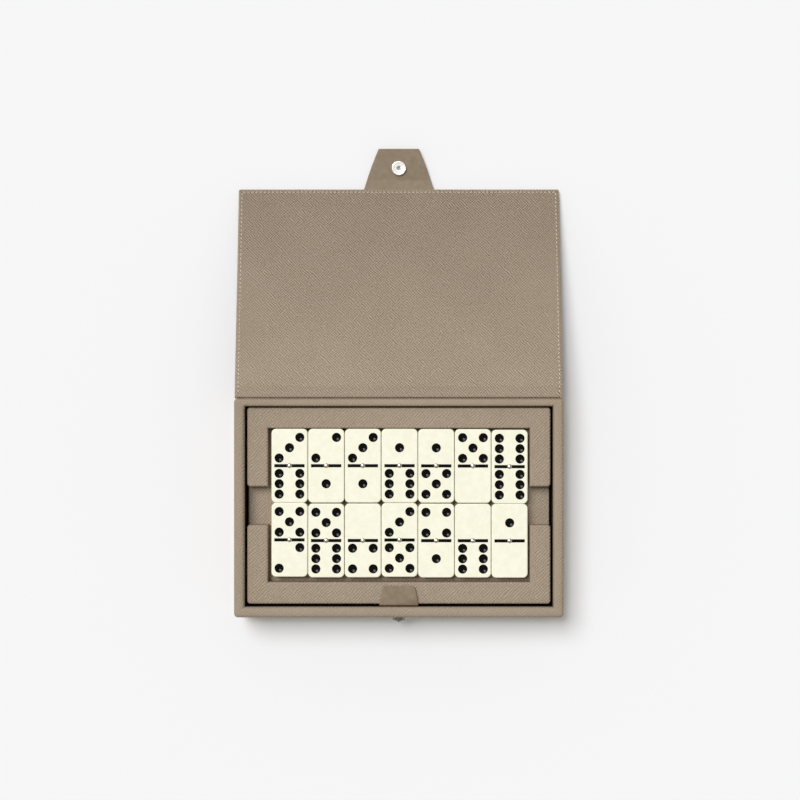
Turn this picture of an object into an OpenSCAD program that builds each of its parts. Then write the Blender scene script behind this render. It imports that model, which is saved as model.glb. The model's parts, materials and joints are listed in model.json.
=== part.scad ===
// Leather-covered domino storage box: a hinged lid with a clasp flap, a lift-out tray with a pull tab,
// and a double-six set of dominoes in two layers. The lid lies open on the table behind the box.
// X runs to the right, Y from the front of the box to its hinge, Z up. The origin is the centre of the
// base's underside. Lengths are in millimetres and angles in degrees.

/* [Tiles] */
// Length of a domino
tile_l = 50.5; // [40:0.5:60]
// Width of a domino
tile_w = 24.7; // [20:0.1:30]
// Thickness of a domino
tile_t = 10; // [8:0.5:13]
// Radius of a domino's corners, seen from above
tile_corner_r = 3.2; // [1.5:0.1:5]
// Radius of a domino's top and bottom edges
tile_edge_r = 0.8; // [0.4:0.1:1.2]
// Diameter of a drilled pip at the face
pip_d = 6.3; // [4:0.1:6.6]
// Depth of a drilled pip
pip_depth = 0.9; // [0.4:0.1:1.5]
// Distance from the middle column of pips to an outer one
pip_step_x = 7.05; // [6.7:0.05:8]
// Distance from the middle row of pips to an outer one
pip_step_y = 7.05; // [6.7:0.05:8]
// Distance from the middle of a domino to the middle of either half
half_offset = 12.3; // [11.5:0.1:13]
// Length of the groove across the middle
groove_l = 20.7; // [14:0.1:22]
// Width of the groove across the middle
groove_w = 2.2; // [1:0.1:2.4]
// Depth of the groove across the middle
groove_depth = 0.5; // [0.2:0.1:1]
// Diameter of the spinner pin's domed head
spinner_d = 3.2; // [2.4:0.1:3.6]
// Height of the spinner's dome above the face
spinner_rise = 0.5; // [0.2:0.1:0.7]
// Diameter of the spinner's shank
spinner_shank_d = 1.6; // [1:0.1:2]
// Length of the spinner's shank in the domino
spinner_shank_l = 5; // [3:0.5:6]

/* [Layout] */
// Dominoes side by side in a row
columns = 7; // [7:1:7]
// Gap between neighbouring columns
column_gap = 0.35; // [0.3:0.05:0.8]
// Gap between the two rows where no domino has slid
row_gap = 0.1; // [0.1:0.1:1.5]
// Free space across the pocket
pocket_slack_x = 3.9; // [2:0.1:6]
// Free space along the pocket
pocket_slack_y = 4; // [2.4:0.1:6]
// Gap between the rear row and the rear edge of the pocket
rear_row_gap = 0.3; // [0.2:0.05:1]
// How far the rows lie to the right of the pocket's middle
row_shift_x = 0.5; // [0:0.1:0.8]

/* [Tray] */
// Width of the frame behind and beside the pocket
frame_w = 14.2; // [10:0.1:20]
// Width of the frame in front of the pocket
frame_front_w = 14.9; // [13:0.1:20]
// Height of the tray's frame above its floor
frame_h = 9.8; // [8:0.1:13]
// Radius of the frame's corners, seen from above
frame_corner_r = 2.2; // [1.6:0.1:3]
// Radius of the frame's covered top edges
frame_edge_r = 1.3; // [1.1:0.1:1.6]
// Width of the finger notch on either side
notch_w = 26.2; // [20:0.1:34]
// Thickness of the tray's board
tray_board_t = 2.6; // [2:0.1:4]
// Thickness of the leather on the tray's floor
tray_floor_t = 0.8; // [0.5:0.1:1.2]
// Thickness of the suede under the tray
tray_suede_t = 0.6; // [0.4:0.1:1]
// Side gap between the tray and the box
tray_gap_x = 1.3; // [1:0.05:2.5]
// Mean gap between the tray and the box at front and rear
tray_gap_y = 1.2; // [1.1:0.05:2.5]
// How far the tray lies towards the rear within its gap
tray_shift_y = 0.3; // [0.2:0.05:0.6]

/* [Pull tab] */
// Width of the tab where it folds
tab_root_w = 26.6; // [20:0.1:36]
// Width of the tab at its free end
tab_tip_w = 21.4; // [16:0.1:36]
// Length of the tab from its fold
tab_l = 13; // [10:0.1:14]
// Thickness of the tab's doubled leather
tab_t = 1.2; // [0.8:0.1:1.3]
// Gap between the resting tab and the frame
tab_gap = 0.15; // [0.1:0.05:0.4]

/* [Box] */
// Thickness of the leather
leather_t = 0.8; // [0.6:0.1:1]
// Thickness of the front and side boards
wall_board_t = 5.7; // [4.5:0.1:8]
// Thickness of the rear board
rear_board_t = 3.8; // [3:0.1:8]
// Thickness of the suede on the walls
wall_suede_t = 0.8; // [0.5:0.1:1.2]
// Thickness of the felt under the base
base_felt_t = 1.2; // [1.1:0.1:2]
// Thickness of the base board
base_board_t = 2.8; // [2:0.1:5]
// Thickness of the suede on the floor
floor_suede_t = 0.6; // [0.4:0.1:1]
// Width of the leather turned under the base
turn_under = 12; // [8:1:20]
// Radius of the box's upright corners
box_corner_r = 2.6; // [2:0.1:4]
// Radius of the rim's covered edges
rim_edge_r = 1.6; // [1.2:0.1:2]
// Free height above the lower dominoes
lower_headroom = 1; // [0.5:0.1:3]
// Height of the rim above the tray's frame
rim_rise = 3.6; // [2.2:0.1:8]
// Depth from the wall boards' top to the suede on their inside
suede_drop = 1; // [0.8:0.1:4]

/* [Lid] */
// Thickness of the lid's board
lid_board_t = 2.4; // [2:0.1:5]
// How far the lid stays inside the box's sides
lid_inset = 0.3; // [0:0.1:1.5]
// How far the closed lid's edge stays behind the box's front
lid_front_inset = 0.8; // [0.3:0.1:1.5]
// Radius of the lid's corners
lid_corner_r = 1.3; // [1.3:0.1:5]
// Radius of the lid's covered edges
lid_edge_r = 1.2; // [1:0.1:1.2]
// Flexible width between the fold and the lid's board
hinge_gutter = 7.5; // [5:0.1:12]
// Gap between the closed lid and the rim
lid_gap = 0.3; // [0.2:0.05:0.6]
// Gap between the lid's leather and the fold it turns about
fold_gap = 0.3; // [0.2:0.05:0.5]
// Distance from the lid's edge to the edge of its lining
lining_inset = 1.1; // [0.6:0.1:1.2]
// Height of the hinge leather glued to the rear of the box
hinge_strip_h = 20; // [10:1:28]
// Clearance of the open lid's far edge above the table
lid_rest_gap = 0.25; // [0.1:0.05:1]

/* [Clasp flap] */
// Width of the flap at the lid's edge
flap_root_w = 48.6; // [36:0.1:70]
// Width of the flap's free end
flap_tip_w = 28.2; // [18:0.1:36]
// Length of the flap from the lid's edge
flap_l = 28.6; // [24:0.1:30]
// Outward bow of the flap's sides
flap_bow = 0.6; // [0:0.1:2]
// Radius of the flap's free corners
flap_corner_r = 0.6; // [0.5:0.1:4]
// Length of the flap's root inlaid in the lid's board
flap_inlay = 8; // [5:0.5:16]
// Distance from the lid's edge to the middle of the clasp
clasp_reach = 15; // [13.5:0.1:18]
// Angle of the resting flap above the table
flap_lift = 3.5; // [0:0.5:10]
// Diameter of the clasp's socket
socket_d = 10.1; // [8:0.1:12]
// Thickness of the clasp's socket
socket_t = 1.8; // [1.5:0.1:2.2]
// Diameter of the recess in the socket
socket_recess_d = 3.6; // [3.4:0.1:4.4]
// Diameter of the clasp's stud
stud_d = 8.4; // [7:0.1:10]
// How far the stud stands out of the front
stud_t = 2.5; // [1.8:0.1:3]
// Diameter of the nub on the stud
nub_d = 3; // [2:0.1:3]
// Length of the nub on the stud
nub_l = 1.2; // [0.8:0.1:1.2]
// Gap between the closed clasp's two halves
clasp_gap = 0.2; // [0.1:0.05:0.4]
// Diameter of the washers behind the leather
washer_d = 9; // [8:0.1:10]
// Thickness of the washers behind the leather
washer_t = 0.4; // [0.3:0.05:0.5]

/* [Hidden] */
// Dominoes of the tray from left to right, rear row first, each with its rear half's value first
UPPER = [[3, 6], [2, 1], [3, 1], [1, 6], [1, 5], [5, 0], [6, 6],
         [5, 2], [5, 6], [0, 4], [3, 5], [4, 1], [0, 6], [1, 0]];
// How far each of them has slid towards the front
DRIFT = [0, 0, 0, 0, 0.1, 0.2, 0.65,
         0, 0.5, 0.45, 0.1, 0.55, 0.6, 0.7];
// The rest of the double-six set, laid out beneath the tray in the same way
LOWER = [[0, 0], [0, 2], [0, 3], [1, 1], [2, 2], [2, 3], [2, 4],
         [2, 6], [3, 3], [3, 4], [4, 4], [4, 5], [4, 6], [5, 5]];

function tile_name(v) = str("tile_", v[0], "_", v[1]);

$fn = 48;
// Overshoot of a cutter past the face it opens
cut = 1;
// Clearance round prongs, washers and spinner shanks
fit_gap = 0.05;

// Pocket and tray
rows = len(UPPER) / columns;
pitch_x = tile_w + column_gap;
pitch_y = tile_l + row_gap;
pocket_w = columns * pitch_x - column_gap + pocket_slack_x;
pocket_d = rows * pitch_y - row_gap + pocket_slack_y;
tray_w = pocket_w + 2 * frame_w;
tray_d = pocket_d + frame_w + frame_front_w;
pocket_shift_y = (frame_front_w - frame_w) / 2;

// Box, from the inside out
inside_w = tray_w + 2 * tray_gap_x;
inside_d = tray_d + 2 * tray_gap_y;
wall_t = leather_t + wall_board_t + wall_suede_t;
rear_wall_t = leather_t + rear_board_t + wall_suede_t;
box_w = inside_w + 2 * wall_t;
box_d = inside_d + wall_t + rear_wall_t;
inside_y = (wall_t - rear_wall_t) / 2;
board_w = box_w - 2 * leather_t;
board_d = box_d - 2 * leather_t;
shell_w = inside_w + 2 * wall_suede_t;
shell_d = inside_d + 2 * wall_suede_t;

// Heights
base_board_z = base_felt_t;
leather_z = base_felt_t - leather_t;
floor_z = base_board_z + base_board_t;
lower_z = floor_z + floor_suede_t;
tray_z = lower_z + tile_t + lower_headroom;
tray_board_z = tray_z + tray_suede_t;
tray_floor_z = tray_board_z + tray_board_t;
upper_z = tray_floor_z + tray_floor_t;
frame_top_z = upper_z + frame_h;
box_h = frame_top_z + rim_rise;

// Places of the tray and its dominoes
tray_y = inside_y + tray_shift_y;
tray_front_y = tray_y - tray_d / 2;

// Lid in its own frame: Y runs from the fold to the far edge, Z is its inner side
lid_t = leather_t + lid_board_t + leather_t;
fold_r = leather_t / 2;
hinge_y = box_d / 2 + fold_r;
hinge_z = box_h + lid_gap;
lid_w = box_w - 2 * lid_inset;
lid_start = leather_t + fold_gap;
lid_l = hinge_y + box_d / 2 - lid_front_inset;
lid_slope = asin((hinge_z - lid_rest_gap) / norm([lid_l, lid_t])) - atan(lid_t / lid_l);

// Flap in its own frame: Y runs from its fold to its free end, Z is its inner side
flap_t = 2 * leather_t;
flap_fold_r = flap_t / 2;
flap_mid_v = -leather_t - flap_fold_r;
flap_offset = stud_t + clasp_gap + socket_t + flap_fold_r + lid_front_inset;
flap_start = flap_fold_r + fold_gap;
flap_turn = lid_slope + flap_lift;
clasp_y = clasp_reach - flap_offset;
stud_z = hinge_z - flap_mid_v - clasp_y;
prong_w = 3;
prong_t = 0.5;
prong_pitch = 5;
prong_bite = 1.6;
stud_edge_r = 0.4;
nub_edge_r = 0.6;
socket_edge_r = 0.5;
socket_rim_w = 0.9;
socket_boss_d = 5.4;
socket_dish = 0.3;
socket_recess_depth = nub_l + clasp_gap;
socket_back_t = 0.4;
socket_skin_t = 0.3;
magnet_t = socket_t - socket_dish - socket_skin_t - socket_back_t - fit_gap;

// Pull tab in its own frame: Y runs from its fold to its free end
tab_fold_r = tab_t / 2;
tab_y = tray_front_y - tab_fold_r;
tab_z = frame_top_z + tab_gap + tab_fold_r;
tab_start = tab_fold_r + fold_gap;
tab_corner_r = 1.2;

LEATHER = [0.64, 0.57, 0.49];
SMOOTH = [0.55, 0.49, 0.42];
SUEDE = [0.1, 0.09, 0.08];
BOARD = [0.76, 0.66, 0.5];
METAL = [0.8, 0.8, 0.82];
IVORY = [0.97, 0.95, 0.87];

// The numbers that the joints use
echo(hinge_y = hinge_y, hinge_z = hinge_z, lid_slope = lid_slope, lid_l = lid_l);
echo(flap_turn = flap_turn, flap_offset = flap_offset, flap_mid_v = flap_mid_v);
echo(tab_y = tab_y, tab_z = tab_z, tray_y = tray_y, box = [box_w, box_d, box_h]);

// Rounded rectangle centred on the origin
module round_rect(w, d, r) {
    square([w - 2 * r, d], center = true);
    square([w, d - 2 * r], center = true);
    for (x = [-1, 1], y = [-1, 1])
        translate([x * (w / 2 - r), y * (d / 2 - r)]) circle(r);
}

// What a round of radius r leaves over in a corner at the origin
module corner_waste(r) {
    translate([-r, -r]) difference() {
        square(r + cut);
        circle(r);
    }
}

// Half section of a plate, with its outer edges rounded
module edge_section(reach, h, top_r, bottom_r) {
    difference() {
        square([reach, h]);
        if (top_r > 0) translate([reach, h]) corner_waste(top_r);
        if (bottom_r > 0) translate([reach, 0]) mirror([0, 1]) corner_waste(bottom_r);
    }
}

// Plate on z = 0 with round corners and its edges rounded all the way round
module soft_plate(w, d, h, r, top_r, bottom_r = 0) {
    translate([r - w / 2, r - d / 2, 0]) cube([w - 2 * r, d - 2 * r, h]);
    for (side = [0 : 3]) {
        across = side % 2 == 0 ? w : d;
        along = side % 2 == 0 ? d : w;
        rotate(90 * side) translate([across / 2 - r, along / 2 - r, 0]) {
            rotate([90, 0, 0]) linear_extrude(along - 2 * r) edge_section(r, h, top_r, bottom_r);
            rotate_extrude(angle = 90) edge_section(r, h, top_r, bottom_r);
        }
    }
}

// Section of an opening whose mouth at height h flares over rounded edges
module mouth_section(w, h, mouth_r, depth) {
    translate([-w / 2, h - depth]) square([w, depth + cut]);
    for (side = [-1, 1])
        scale([side, 1]) translate([w / 2, h - mouth_r]) difference() {
            translate([-cut, 0]) square([mouth_r + cut, mouth_r + cut]);
            translate([mouth_r, 0]) circle(mouth_r);
        }
}

// Cutter for a rectangular opening with a rounded mouth at height h
module mouth(w, d, h, mouth_r, depth) {
    far = w + d;
    intersection() {
        rotate([90, 0, 0]) linear_extrude(far, center = true) mouth_section(w, h, mouth_r, depth);
        rotate([90, 0, 90]) linear_extrude(far, center = true) mouth_section(d, h, mouth_r, depth);
    }
}

// Block centred on the inside of the box
module inside_block(w, d, z, h) {
    translate([-w / 2, inside_y - d / 2, z]) cube([w, d, h]);
}

// Everything within the leather of the walls, from height z up
module board_block(z) {
    translate([0, 0, z])
        soft_plate(board_w, board_d, box_h - leather_t - z, box_corner_r - leather_t, rim_edge_r - leather_t);
}

// Opening between the wall boards, down to a depth below their top
module board_mouth(depth) {
    translate([0, inside_y, 0])
        mouth(shell_w, shell_d, box_h - leather_t, rim_edge_r - leather_t, depth);
}

// The part of the wall boards between two widths and two depths
module wall_board(x0, x1, y0, y1) {
    intersection() {
        difference() {
            board_block(floor_z);
            board_mouth(box_h);
        }
        translate([x0, y0, 0]) cube([x1 - x0, y1 - y0, box_h]);
    }
}

// Puts the clasp's axis on the front of the box, with Z pointing out
module on_front() {
    translate([0, -box_d / 2, stud_z]) rotate([90, 0, 0]) children();
}

// The two prongs that hold a clasp half, driven to a depth below z = 0
module prongs(depth, gap = 0, top = 0) {
    for (x = [-1, 1])
        translate([x * prong_pitch / 2 - prong_t / 2 - gap, -prong_w / 2 - gap, -depth - gap])
            cube([prong_t + 2 * gap, prong_w + 2 * gap, depth + gap + top]);
}

// Cutter for the slots that the prongs go through
module prong_slots(depth) {
    prongs(depth, fit_gap, cut);
}

module washer() {
    difference() {
        translate([0, 0, -leather_t - washer_t]) cylinder(d = washer_d, h = washer_t);
        prong_slots(leather_t + washer_t);
    }
}

module washer_seat() {
    translate([0, 0, -leather_t - washer_t]) cylinder(d = washer_d + 2 * fit_gap, h = washer_t + cut);
}

module base_felt() {
    color(SUEDE) linear_extrude(base_felt_t)
        round_rect(box_w - 2 * turn_under, box_d - 2 * turn_under, box_corner_r);
}

module base_board() {
    color(BOARD) translate([0, 0, base_board_z]) linear_extrude(base_board_t)
        round_rect(board_w, board_d, box_corner_r - leather_t);
}

module front_wall() {
    color(BOARD) difference() {
        wall_board(-box_w, box_w, -box_d, inside_y - shell_d / 2);
        on_front() {
            washer_seat();
            prong_slots(leather_t + washer_t + prong_bite);
        }
    }
}

module rear_wall() {
    color(BOARD) wall_board(-box_w, box_w, inside_y + shell_d / 2, box_d);
}

module side_wall(side) {
    x = side * (box_w + shell_w) / 4;
    half_t = (box_w - shell_w) / 4;
    color(BOARD) wall_board(x - half_t, x + half_t, inside_y - shell_d / 2, inside_y + shell_d / 2);
}

module left_wall() {
    side_wall(-1);
}

module right_wall() {
    side_wall(1);
}

// Leather glued round the walls, over the rim and under the base
module box_leather() {
    color(LEATHER) difference() {
        translate([0, 0, leather_z])
            soft_plate(box_w, box_d, box_h - leather_z, box_corner_r, rim_edge_r, leather_t);
        difference() {
            board_block(base_board_z);
            board_mouth(suede_drop);
        }
        translate([0, inside_y, 0]) mouth(inside_w, inside_d, box_h, rim_edge_r, box_h - floor_z);
        translate([turn_under - box_w / 2, turn_under - box_d / 2, 0])
            cube([box_w - 2 * turn_under, box_d - 2 * turn_under, floor_z]);
        on_front() prong_slots(leather_t);
    }
}

module wall_suede() {
    suede_h = box_h - leather_t - suede_drop - floor_z;
    color(SUEDE) difference() {
        inside_block(shell_w, shell_d, floor_z, suede_h);
        inside_block(inside_w, inside_d, floor_z - cut, suede_h + 2 * cut);
    }
}

module floor_suede() {
    color(SUEDE) inside_block(inside_w, inside_d, floor_z, floor_suede_t);
}

// Half of the frame round a pocket, on z = 0: side is 1 for the rear half and -1 for the front half,
// and pocket_y is how far the pocket lies behind the frame's middle
module frame_half(side, w, d, h, pocket_y, inset = 0) {
    half_d = (d - notch_w) / 2;
    difference() {
        translate([0, side * (notch_w + half_d) / 2, 0])
            soft_plate(w - 2 * inset, half_d - 2 * inset, h - inset, frame_corner_r - inset,
                       frame_edge_r - inset);
        translate([0, pocket_y, 0])
            mouth(pocket_w + 2 * inset, pocket_d + 2 * inset, h - inset, frame_edge_r - inset, h + cut);
    }
}

module well_frame(side) {
    color(LEATHER) translate([0, inside_y, lower_z])
        frame_half(side, inside_w, inside_d, tray_z - lower_z, 0);
}

module well_rear_frame() {
    well_frame(1);
}

module well_front_frame() {
    well_frame(-1);
}

// Leather glued to the rear of the box, folded at its top to hold the lid
module hinge_strip() {
    color(LEATHER) {
        translate([0, box_d / 2 + leather_t, hinge_z]) rotate([90, 0, 0]) linear_extrude(leather_t)
            intersection() {
                round_rect(lid_w, 2 * hinge_strip_h, lid_corner_r);
                translate([-lid_w / 2, -hinge_strip_h]) square([lid_w, hinge_strip_h]);
            }
        translate([0, hinge_y, hinge_z]) rotate([0, 90, 0]) cylinder(r = fold_r, h = lid_w, center = true);
    }
}

// Male half of the clasp
module clasp_stud() {
    color(METAL) on_front() {
        rotate_extrude() {
            edge_section(stud_d / 2, stud_t, stud_edge_r, 0);
            edge_section(nub_d / 2, stud_t + nub_l, nub_edge_r, 0);
        }
        prongs(leather_t + washer_t + prong_bite);
    }
}

module stud_washer() {
    color(METAL) on_front() washer();
}

module on_lid() {
    translate([0, hinge_y, hinge_z]) rotate([-lid_slope, 0, 0]) children();
}

// Plate of the lid between two distances from the fold, its top at height z
module lid_plate(inset, from, to, z, t, edge_r) {
    translate([0, (from + to) / 2, z - t])
        soft_plate(lid_w - 2 * inset, to - from, t, lid_corner_r - inset, edge_r, edge_r);
}

module lid_board_space() {
    lid_plate(leather_t, hinge_gutter + leather_t, lid_l - leather_t, -leather_t, lid_board_t,
              lid_edge_r - leather_t);
}

// Space of the flap's root, from the board to past the lid's edge
module flap_inlay_space() {
    translate([-flap_root_w / 2, lid_l - flap_inlay, flap_mid_v - flap_fold_r])
        cube([flap_root_w, flap_inlay + cut, flap_t]);
}

module lid_board() {
    color(BOARD) on_lid() difference() {
        lid_board_space();
        flap_inlay_space();
    }
}

module lid_lining() {
    color(LEATHER) on_lid()
        lid_plate(lining_inset, lid_start + lining_inset, lid_l - lining_inset, 0, leather_t, 0);
}

// Outer leather of the lid, turned in round its edges and thin enough to bend next to the fold
module lid_leather() {
    color(LEATHER) on_lid() difference() {
        lid_plate(0, lid_start, lid_l, 0, lid_t, lid_edge_r);
        lid_board_space();
        lid_plate(lining_inset, lid_start + lining_inset, lid_l - lining_inset, cut, leather_t + cut, 0);
        flap_inlay_space();
        rotate([90, 0, 90]) linear_extrude(box_w, center = true) {
            translate([-cut, -lid_t - cut]) square([hinge_gutter + cut, lid_t + cut - 2 * leather_t]);
            translate([hinge_gutter, -lid_t]) scale([-1, -1]) corner_waste(lid_edge_r);
        }
    }
}

// Half the flap's width at a distance from the lid's edge
function flap_half_w(d) = let (t = max(d, 0) / flap_l)
    flap_root_w / 2 + (flap_tip_w - flap_root_w) / 2 * t + 4 * flap_bow * t * (1 - t);

// Outline of the flap between two distances from the lid's edge
module flap_outline(from, to) {
    steps = 8;
    rows = [for (i = [0 : steps]) from + (to - from) * i / steps];
    polygon(concat([for (d = rows) [flap_half_w(d), d]],
                   [for (i = [steps : -1 : 0]) [-flap_half_w(rows[i]), rows[i]]]));
}

// The flap's outline with round free corners
module flap_shape() {
    translate([0, -flap_offset]) intersection() {
        offset(flap_corner_r) offset(-flap_corner_r) flap_outline(0, flap_l);
        translate([-flap_root_w / 2, flap_offset + flap_start]) square([flap_root_w, flap_l]);
    }
}

module flap_root() {
    color(SMOOTH) on_lid() {
        translate([0, lid_l, flap_mid_v - flap_fold_r]) linear_extrude(flap_t) {
            flap_outline(0, flap_offset);
            translate([-flap_root_w / 2, -flap_inlay]) square([flap_root_w, flap_inlay]);
        }
        translate([0, lid_l + flap_offset, flap_mid_v]) rotate([0, 90, 0])
            cylinder(r = flap_fold_r, h = 2 * flap_half_w(flap_offset), center = true);
    }
}

module on_flap() {
    on_lid() translate([0, lid_l + flap_offset, flap_mid_v]) rotate([flap_turn, 0, 0]) children();
}

module on_clasp() {
    on_flap() translate([0, clasp_y, flap_fold_r]) children();
}

module flap_leather() {
    color(LEATHER) difference() {
        on_flap() translate([0, 0, -flap_fold_r]) linear_extrude(leather_t) flap_shape();
        on_clasp() washer_seat();
    }
}

module flap_lining() {
    color(SMOOTH) difference() {
        on_flap() linear_extrude(leather_t) flap_shape();
        on_clasp() prong_slots(leather_t);
    }
}

// Female half of the clasp, dished between its rim and the boss round its recess
module clasp_socket() {
    color(METAL) on_clasp() {
        difference() {
            rotate_extrude() edge_section(socket_d / 2, socket_t, socket_edge_r, 0);
            rotate_extrude() translate([socket_boss_d / 2, socket_t - socket_dish])
                square([(socket_d - socket_boss_d) / 2 - socket_rim_w, socket_dish + cut]);
            translate([0, 0, socket_t - socket_recess_depth])
                cylinder(d = socket_recess_d, h = socket_recess_depth + cut);
            magnet_ring(fit_gap);
        }
        prongs(leather_t + washer_t);
    }
}

// Ring round the socket's recess, resting on the socket's back, or with a gap the hollow that holds it
module magnet_ring(gap = 0) {
    inner_r = socket_recess_d / 2 + socket_skin_t + fit_gap;
    outer_r = socket_d / 2 - socket_back_t - fit_gap;
    rotate_extrude() translate([inner_r - gap, socket_back_t])
        square([outer_r - inner_r + 2 * gap, magnet_t + gap]);
}

// Magnet closed up in the socket, which draws the stud's nub into the recess
module clasp_magnet() {
    color(METAL) on_clasp() magnet_ring();
}

module socket_washer() {
    color(METAL) on_clasp() washer();
}

module in_tray(z) {
    translate([0, tray_y, z]) children();
}

module tray_suede() {
    color(SUEDE) in_tray(tray_z) linear_extrude(tray_suede_t) round_rect(tray_w, tray_d, frame_corner_r);
}

module tray_board_space() {
    in_tray(tray_board_z) linear_extrude(tray_board_t)
        round_rect(tray_w - 2 * tray_floor_t, tray_d - 2 * tray_floor_t, frame_corner_r - tray_floor_t);
}

module tray_board() {
    color(BOARD) tray_board_space();
}

// Leather over the tray's board and down its edges
module tray_floor() {
    color(LEATHER) difference() {
        in_tray(tray_board_z)
            soft_plate(tray_w, tray_d, tray_board_t + tray_floor_t, frame_corner_r, tray_floor_t);
        tray_board_space();
    }
}

module tray_core(side) {
    color(BOARD) in_tray(upper_z) frame_half(side, tray_w, tray_d, frame_h, pocket_shift_y, leather_t);
}

module tray_leather(side) {
    color(LEATHER) in_tray(upper_z) difference() {
        frame_half(side, tray_w, tray_d, frame_h, pocket_shift_y);
        frame_half(side, tray_w, tray_d, frame_h, pocket_shift_y, leather_t);
    }
}

module tray_rear_core() {
    tray_core(1);
}

module tray_front_core() {
    tray_core(-1);
}

module tray_rear_leather() {
    tray_leather(1);
}

module tray_front_leather() {
    tray_leather(-1);
}

// Leather glued to the front of the tray, folded at its top to hold the pull tab
module tab_anchor() {
    color(SMOOTH) {
        translate([-tab_root_w / 2, tray_front_y - tab_t, tray_board_z])
            cube([tab_root_w, tab_t, tab_z - tray_board_z]);
        translate([0, tab_y, tab_z]) rotate([0, 90, 0]) cylinder(r = tab_fold_r, h = tab_root_w, center = true);
    }
}

module pull_tab() {
    color(SMOOTH) translate([0, tab_y, tab_z - tab_fold_r]) linear_extrude(tab_t) intersection() {
        offset(tab_corner_r) offset(-tab_corner_r)
            polygon([[-tab_root_w / 2, 0], [tab_root_w / 2, 0], [tab_tip_w / 2, tab_l], [-tab_tip_w / 2, tab_l]]);
        translate([-tab_root_w / 2, tab_start]) square([tab_root_w, tab_l]);
    }
}

// Places of a value's pips, in steps from the middle of its half
function pips(value) = concat(
    value % 2 == 1 ? [[0, 0]] : [],
    value > 1 ? [[1, 1], [-1, -1]] : [],
    value > 3 ? [[1, -1], [-1, 1]] : [],
    value == 6 ? [[-1, 0], [1, 0]] : []);

// Domino on z = 0, with its rear half's value first
module domino(values) {
    pip_r = (pow(pip_d / 2, 2) + pow(pip_depth, 2)) / (2 * pip_depth);
    seat_z = tile_t - groove_depth;
    color(IVORY) difference() {
        soft_plate(tile_w, tile_l, tile_t, tile_corner_r, tile_edge_r, tile_edge_r);
        for (half = [0, 1], p = pips(values[half]))
            translate([p.x * pip_step_x, (1 - 2 * half) * half_offset + p.y * pip_step_y,
                       tile_t + pip_r - pip_depth]) sphere(pip_r);
        translate([-groove_l / 2, -groove_w / 2, seat_z]) cube([groove_l, groove_w, groove_depth + cut]);
        translate([0, 0, seat_z]) cylinder(d = spinner_d + 2 * fit_gap, h = groove_depth + cut);
        translate([0, 0, seat_z - spinner_shank_l - fit_gap])
            cylinder(d = spinner_shank_d + 2 * fit_gap, h = spinner_shank_l + groove_depth + cut);
    }
    color(METAL) translate([0, 0, seat_z + fit_gap]) spinner();
}

// Pin through the groove, its dome proud of the face
module spinner() {
    head_h = groove_depth - fit_gap;
    dome_r = (pow(spinner_d / 2, 2) + pow(spinner_rise, 2)) / (2 * spinner_rise);
    rotate_extrude() {
        square([spinner_d / 2, head_h]);
        translate([0, -spinner_shank_l]) square([spinner_shank_d / 2, spinner_shank_l + head_h]);
        intersection() {
            translate([0, head_h + spinner_rise - dome_r]) circle(dome_r);
            square([spinner_d / 2, head_h + spinner_rise]);
        }
    }
}

// Domino number k of a layer whose pocket has its middle at y, slid forward by a drift
module laid_domino(values, k, y, z, drift) {
    column = k % columns;
    row = floor(k / columns);
    rear_y = y + pocket_d / 2 - rear_row_gap - tile_l / 2;
    translate([(column - (columns - 1) / 2) * pitch_x + row_shift_x, rear_y - row * pitch_y - drift, z])
        domino(values);
}

base_felt();
base_board();
front_wall();
rear_wall();
left_wall();
right_wall();
box_leather();
wall_suede();
floor_suede();
well_rear_frame();
well_front_frame();
hinge_strip();
clasp_stud();
stud_washer();
lid_board();
lid_leather();
lid_lining();
flap_root();
flap_leather();
flap_lining();
clasp_socket();
clasp_magnet();
socket_washer();
tray_suede();
tray_board();
tray_floor();
tray_rear_core();
tray_front_core();
tray_rear_leather();
tray_front_leather();
tab_anchor();
pull_tab();
for (k = [0 : len(UPPER) - 1])
    laid_domino(UPPER[k], k, tray_y + pocket_shift_y, upper_z, DRIFT[k]);
for (k = [0 : len(LOWER) - 1])
    laid_domino(LOWER[k], k, inside_y, lower_z, 0);
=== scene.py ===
import json
import math

import bpy
import numpy as np
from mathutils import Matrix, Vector


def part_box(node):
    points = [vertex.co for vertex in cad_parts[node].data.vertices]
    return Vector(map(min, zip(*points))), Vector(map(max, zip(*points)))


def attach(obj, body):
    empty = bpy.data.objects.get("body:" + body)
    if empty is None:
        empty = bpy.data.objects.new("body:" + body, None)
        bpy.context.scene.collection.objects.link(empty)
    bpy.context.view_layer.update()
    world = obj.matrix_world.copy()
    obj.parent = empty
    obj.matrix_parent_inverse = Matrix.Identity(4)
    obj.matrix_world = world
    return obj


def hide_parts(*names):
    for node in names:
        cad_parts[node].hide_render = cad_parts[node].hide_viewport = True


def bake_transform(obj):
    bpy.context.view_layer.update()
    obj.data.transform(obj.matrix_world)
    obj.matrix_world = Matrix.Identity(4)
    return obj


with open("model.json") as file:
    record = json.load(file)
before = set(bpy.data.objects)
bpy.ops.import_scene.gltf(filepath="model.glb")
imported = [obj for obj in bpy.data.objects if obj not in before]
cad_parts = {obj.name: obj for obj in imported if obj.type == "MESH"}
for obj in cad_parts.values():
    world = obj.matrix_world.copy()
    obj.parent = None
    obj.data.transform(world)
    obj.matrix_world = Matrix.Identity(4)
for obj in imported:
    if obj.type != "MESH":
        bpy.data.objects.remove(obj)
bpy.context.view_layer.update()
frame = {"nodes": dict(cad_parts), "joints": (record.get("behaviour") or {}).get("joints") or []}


# Boards: bookbinder's board, cut with a knife and glued edge to edge. It is the skeleton of the box,
# the lid and the tray, and leather or suede covers all of it.
BOARD_COLOUR = (184, 160, 124)
BOARD_FLECK = (158, 134, 100)
BOARD_FIBRE = 0.0009
BOARD_RELIEF = 0.00006


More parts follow.
